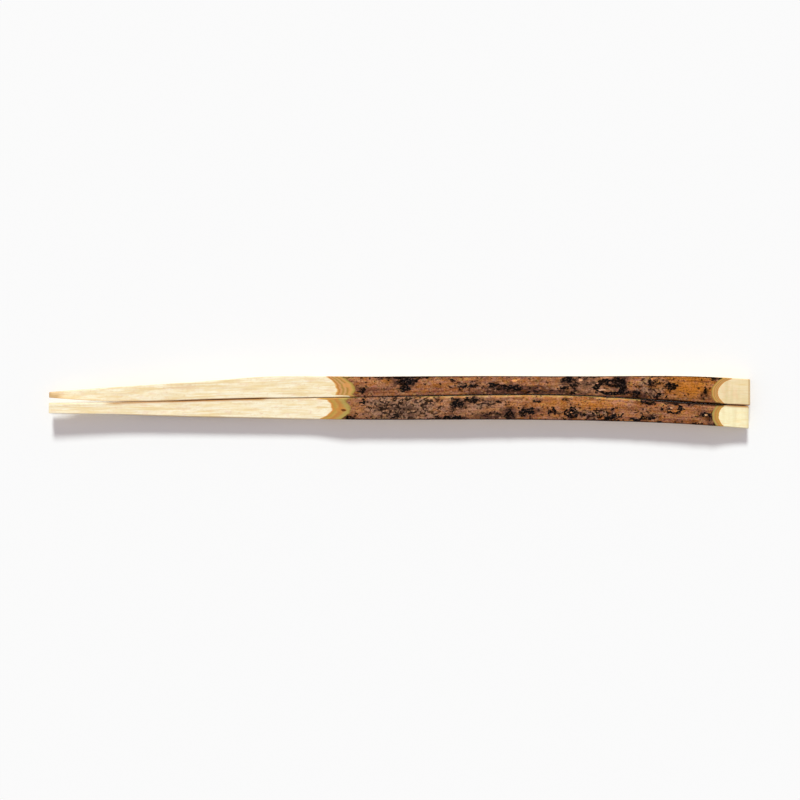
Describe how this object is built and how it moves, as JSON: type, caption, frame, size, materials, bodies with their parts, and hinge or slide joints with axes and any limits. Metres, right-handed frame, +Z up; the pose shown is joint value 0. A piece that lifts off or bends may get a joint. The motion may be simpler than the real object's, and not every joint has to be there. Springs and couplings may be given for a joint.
{
  "type": "pair of wooden chopsticks",
  "caption": "Pair of chopsticks split from a thin branch, bark left along the top, pale knife-cut tips, slanted butts and flat undersides, lying side by side.",
  "frame": {"origin": "middle of the pair, on the surface that it rests on", "axes": "+X along the sticks from the tips to the butts, +Y from the front stick to the back one, +Z up"},
  "size_m": [0.24, 0.018, 0.0062],
  "materials": {
    "bark_on_wood": "orange-brown bark with black flecks left on the top, pale bare wood where it is cut"
  },
  "bodies": {
    "root": {"chopstick_back": "bark_on_wood", "chopstick_front": "bark_on_wood"}
  },
  "joints": []
}
